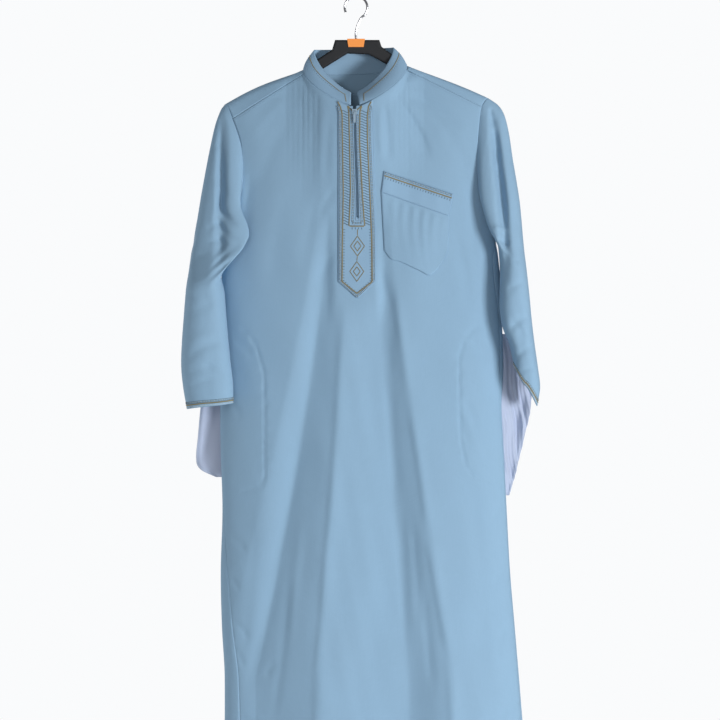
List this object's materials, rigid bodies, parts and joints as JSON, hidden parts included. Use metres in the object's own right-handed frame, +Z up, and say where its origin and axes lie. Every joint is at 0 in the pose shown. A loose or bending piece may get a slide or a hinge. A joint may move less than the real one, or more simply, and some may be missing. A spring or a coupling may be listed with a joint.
{
  "type": "qamis robe on a hanger",
  "caption": "Long-sleeved qamis robe with stand collar, zipped placket, chest pocket and side pocket bags, hanging on a moulded hanger.",
  "frame": {"origin": "the inside of the hanger hook, where it rests on a rail", "axes": "+Z up, the front of the robe faces -Y, +X is to the right as seen from the front"},
  "size_m": [0.629, 0.163, 1.5401],
  "materials": {
    "robe_cloth": "plain woven light blue cloth",
    "pocket_lining": "thin lilac grey lining",
    "zip_tape": "woven tape",
    "zip_metal": "pale enamelled metal",
    "hanger_plastic": "moulded black",
    "hook_steel": "plated wire",
    "clip_plastic": "orange"
  },
  "bodies": {
    "robe": {"front_panel": "robe_cloth", "back_panel": "robe_cloth", "yoke": "robe_cloth", "collar_band": "robe_cloth", "sleeve_left": "robe_cloth", "sleeve_right": "robe_cloth", "placket_panel": "robe_cloth", "chest_pocket_band": "robe_cloth", "chest_pocket_pouch": "robe_cloth", "side_pocket_bag_left": "pocket_lining", "side_pocket_bag_right": "pocket_lining", "zip_tape": "zip_tape", "zip_slider": "zip_metal", "hanger_body": "hanger_plastic", "hanger_hook": "hook_steel", "hanger_clip": "clip_plastic"},
    "zip_pull": {"zip_pull": "zip_metal"}
  },
  "joints": [
    {"name": "zip_pull_hinge", "type": "hinge", "parent": "robe", "child": "zip_pull", "pos_m": [-0.00249, -0.05544, -0.203], "axis": [-1, 0, 0], "range_deg": [0, 150]}
  ]
}
